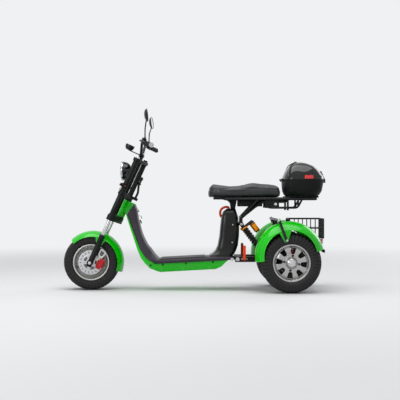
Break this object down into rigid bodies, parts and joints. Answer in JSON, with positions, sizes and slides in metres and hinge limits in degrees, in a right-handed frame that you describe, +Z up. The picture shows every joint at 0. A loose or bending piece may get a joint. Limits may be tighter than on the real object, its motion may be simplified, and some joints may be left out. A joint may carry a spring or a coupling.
{
  "type": "three-wheeled electric scooter",
  "caption": "Low step-through electric scooter on fat tyres with a steered front wheel, twin rear wheels, saddle seat, lidded top box and wire basket.",
  "frame": {"origin": "on the ground under the middle of the bounding box", "axes": "+Z up, the scooter's front faces -X and its left side -Y"},
  "size_m": [2.0519, 0.826, 1.3901],
  "materials": {
    "green_paint": "gloss",
    "grey_plastic": "satin",
    "black_plastic": "matte",
    "gloss_black": "gloss",
    "black_metal": "satin",
    "rubber": "matte",
    "tyre": "matte",
    "seat_leather": "satin",
    "alloy": "polished",
    "steel": "brushed",
    "chrome": "polished",
    "red_paint": "gloss",
    "red_lens": "gloss",
    "gold": "gloss",
    "orange_plastic": "satin",
    "lamp_glass": "clear",
    "mirror_glass": "polished"
  },
  "bodies": {
    "chassis": {"frame": "green_paint", "leg_shield": "grey_plastic", "footboard": "grey_plastic", "foot_mat": "rubber", "belly_pan": "green_paint", "battery": "black_plastic", "seat_column": "gloss_black", "bag_handle": "orange_plastic", "seat": "seat_leather", "seat_pan": "black_plastic", "controller_box": "black_plastic", "subframe": "black_metal", "box_base": "black_plastic", "rear_axle": "black_metal", "swingarm": "black_metal", "rear_carriage": "black_metal", "rear_fenders": "green_paint", "basket": "black_metal", "tail_lamps": "red_lens", "rear_calipers": "red_paint", "shock_dampers": "black_metal", "shock_springs": "black_metal", "shock_reservoirs": "gold"},
    "steering": {"front_axle": "steel", "fork_sliders": "black_metal", "fork_stanchions": "chrome", "fork_shrouds": "black_metal", "lower_yoke": "black_metal", "middle_yoke": "black_metal", "upper_yoke": "black_metal", "handlebar": "black_metal", "grips": "rubber", "brake_levers": "black_metal", "mirrors": "black_plastic", "mirror_glass": "mirror_glass", "headlamp_bucket": "gloss_black", "headlamp_ring": "chrome", "headlamp_lens": "lamp_glass", "display": "black_plastic", "horn": "chrome", "front_signals": "black_plastic", "front_fender": "green_paint", "front_caliper": "red_paint", "caliper_bracket": "alloy", "loom": "rubber"},
    "front_wheel": {"front_tyre": "tyre", "front_rim": "alloy", "front_disc": "steel"},
    "rear_left_wheel": {"rear_tyre_left": "tyre", "rear_rim_left": "alloy"},
    "rear_right_wheel": {"rear_tyre_right": "tyre", "rear_rim_right": "alloy"},
    "top_box_lid": {"box_lid": "gloss_black", "box_reflectors": "red_lens"},
    "left_peg": {"footpeg_left": "orange_plastic"},
    "right_peg": {"footpeg_right": "orange_plastic"}
  },
  "joints": [
    {"name": "steer", "type": "hinge", "parent": "chassis", "child": "steering", "pos_m": [-0.5599, 0, 0.63097], "axis": [0.4147, 0, 0.91], "range_deg": [-35, 35]},
    {"name": "front_wheel_spin", "type": "hinge", "parent": "steering", "child": "front_wheel", "pos_m": [-0.809, 0, 0.217], "axis": [0, -1, 0], "continuous": true},
    {"name": "rear_left_wheel_spin", "type": "hinge", "parent": "chassis", "child": "rear_left_wheel", "pos_m": [0.729, -0.27, 0.2285], "axis": [0, -1, 0], "continuous": true},
    {"name": "rear_right_wheel_spin", "type": "hinge", "parent": "chassis", "child": "rear_right_wheel", "pos_m": [0.729, 0.27, 0.2285], "axis": [0, -1, 0], "continuous": true},
    {"name": "lid_open", "type": "hinge", "parent": "chassis", "child": "top_box_lid", "pos_m": [0.679, 0, 0.863], "axis": [0, -1, 0], "range_deg": [0, 75]},
    {"name": "left_peg_fold", "type": "hinge", "parent": "chassis", "child": "left_peg", "pos_m": [0.382, -0.19, 0.248], "axis": [1, 0, 0], "range_deg": [0, 90]},
    {"name": "right_peg_fold", "type": "hinge", "parent": "chassis", "child": "right_peg", "pos_m": [0.382, 0.19, 0.248], "axis": [-1, 0, 0], "range_deg": [0, 90]}
  ]
}
